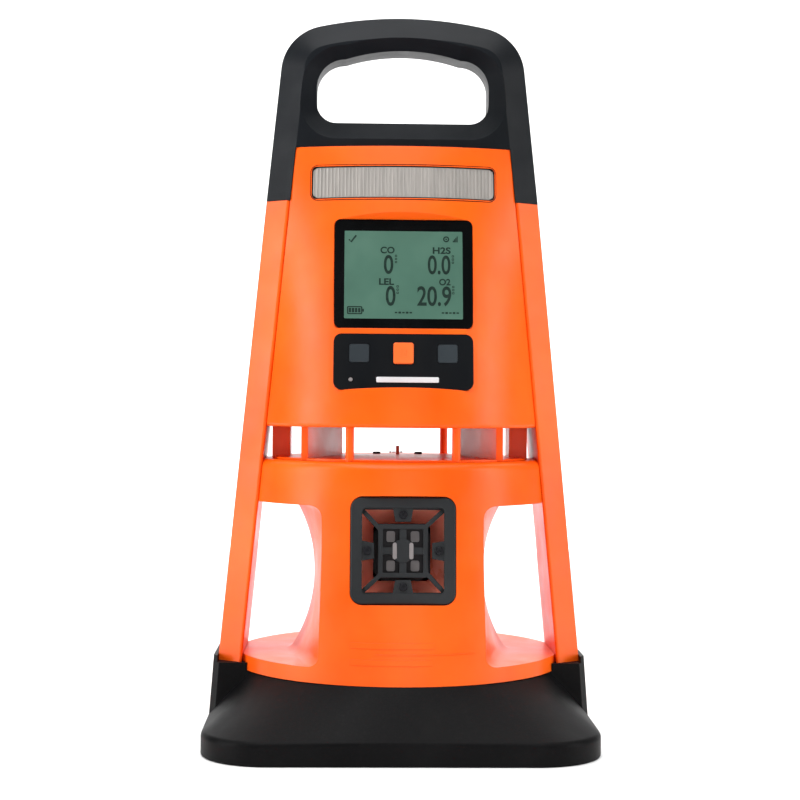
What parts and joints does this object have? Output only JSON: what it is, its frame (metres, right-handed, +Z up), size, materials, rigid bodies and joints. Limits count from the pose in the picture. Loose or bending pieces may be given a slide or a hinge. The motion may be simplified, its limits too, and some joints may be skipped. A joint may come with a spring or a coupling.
{
  "type": "transportable area gas detector",
  "caption": "Portable area gas monitor: leaning housing on a rubber base, with carry handle, display, keypad, beacons, horn and sensor slot.",
  "frame": {"origin": "centre of the base on the ground, under the middle of the assembly", "axes": "+Z up, front (display side) towards -Y, +X to the right as seen from the front"},
  "size_m": [0.29, 0.29, 0.552],
  "materials": {
    "boot_rubber": "moulded satin",
    "ballast_steel": "zinc plated",
    "screw_steel": "black oxide",
    "orange_plastic": "fine moulded texture",
    "charcoal_plastic": "fine moulded texture",
    "window_glass": "clear with a black printed border",
    "gasket_rubber": "plain",
    "lcd": "reflective grey-green",
    "overlay_black": "semi-gloss film",
    "key_grey": "satin",
    "key_orange": "satin",
    "beacon_lens": "ribbed, translucent",
    "horn_black": "satin",
    "horn_orange": "smooth",
    "driver_metal": "black",
    "sensor_metal": "satin",
    "circuit_board": "solder mask",
    "inner_plastic": "plain",
    "battery_cells": "shrink wrapped cells",
    "status_lamp": "clear",
    "socket_black": "smooth",
    "cap_rubber": "plain",
    "pin_steel": "plain"
  },
  "bodies": {
    "housing": {"base_boot": "boot_rubber", "base_pan": "ballast_steel", "base_pan_screws": "screw_steel", "battery_bracket": "inner_plastic", "battery_door": "orange_plastic", "battery_pack": "battery_cells", "button_left_switch": "inner_plastic", "button_power_switch": "inner_plastic", "button_right_switch": "inner_plastic", "charge_jack": "socket_black", "deck_screw_left": "screw_steel", "deck_screw_right": "screw_steel", "display_gasket": "gasket_rubber", "display_window": "window_glass", "door_screw_lower_left": "screw_steel", "door_screw_lower_right": "screw_steel", "door_screw_upper_left": "screw_steel", "door_screw_upper_right": "screw_steel", "front_beacon_board": "circuit_board", "front_beacon_lens": "beacon_lens", "front_horn_bezel": "horn_black", "front_horn_driver": "driver_metal", "front_horn_flare": "horn_orange", "front_horn_grille": "horn_black", "gas_sensor_front_left": "sensor_metal", "gas_sensor_front_right": "sensor_metal", "gas_sensor_rear_left": "sensor_metal", "gas_sensor_rear_right": "sensor_metal", "handle_front_half": "charcoal_plastic", "handle_rear_half": "charcoal_plastic", "handle_screws": "screw_steel", "horn_screw_bottom": "screw_steel", "horn_screw_left": "screw_steel", "horn_screw_right": "screw_steel", "horn_screw_top": "screw_steel", "keypad_board": "circuit_board", "keypad_overlay": "overlay_black", "lcd_module": "lcd", "left_side_rail": "orange_plastic", "lower_front_casing": "orange_plastic", "lower_rear_casing": "orange_plastic", "main_board": "circuit_board", "main_board_posts": "inner_plastic", "port_cap_pin": "pin_steel", "power_board": "circuit_board", "rear_beacon_board": "circuit_board", "rear_beacon_lens": "beacon_lens", "right_side_rail": "orange_plastic", "sensor_board": "circuit_board", "sensor_board_posts": "inner_plastic", "status_light": "status_lamp", "upper_front_casing": "orange_plastic", "upper_rear_casing": "orange_plastic", "vent_frame": "orange_plastic"},
    "button_left": {"button_left": "key_grey"},
    "button_power": {"button_power": "key_orange"},
    "button_right": {"button_right": "key_grey"},
    "charge_cap": {"port_cap": "cap_rubber"}
  },
  "joints": [
    {"name": "button_left_press", "type": "slide", "parent": "housing", "child": "button_left", "axis": [0, 0.9736, -0.2284], "range_m": [0, 0.001], "stiffness_N_per_m": 800},
    {"name": "button_power_press", "type": "slide", "parent": "housing", "child": "button_power", "axis": [0, 0.9736, -0.2284], "range_m": [0, 0.001], "stiffness_N_per_m": 800},
    {"name": "button_right_press", "type": "slide", "parent": "housing", "child": "button_right", "axis": [0, 0.9736, -0.2284], "range_m": [0, 0.001], "stiffness_N_per_m": 800},
    {"name": "charge_cap_hinge", "type": "hinge", "parent": "housing", "child": "charge_cap", "pos_m": [0, 0.10748, 0.211], "axis": [1, 0, 0], "range_deg": [0, 110]}
  ]
}
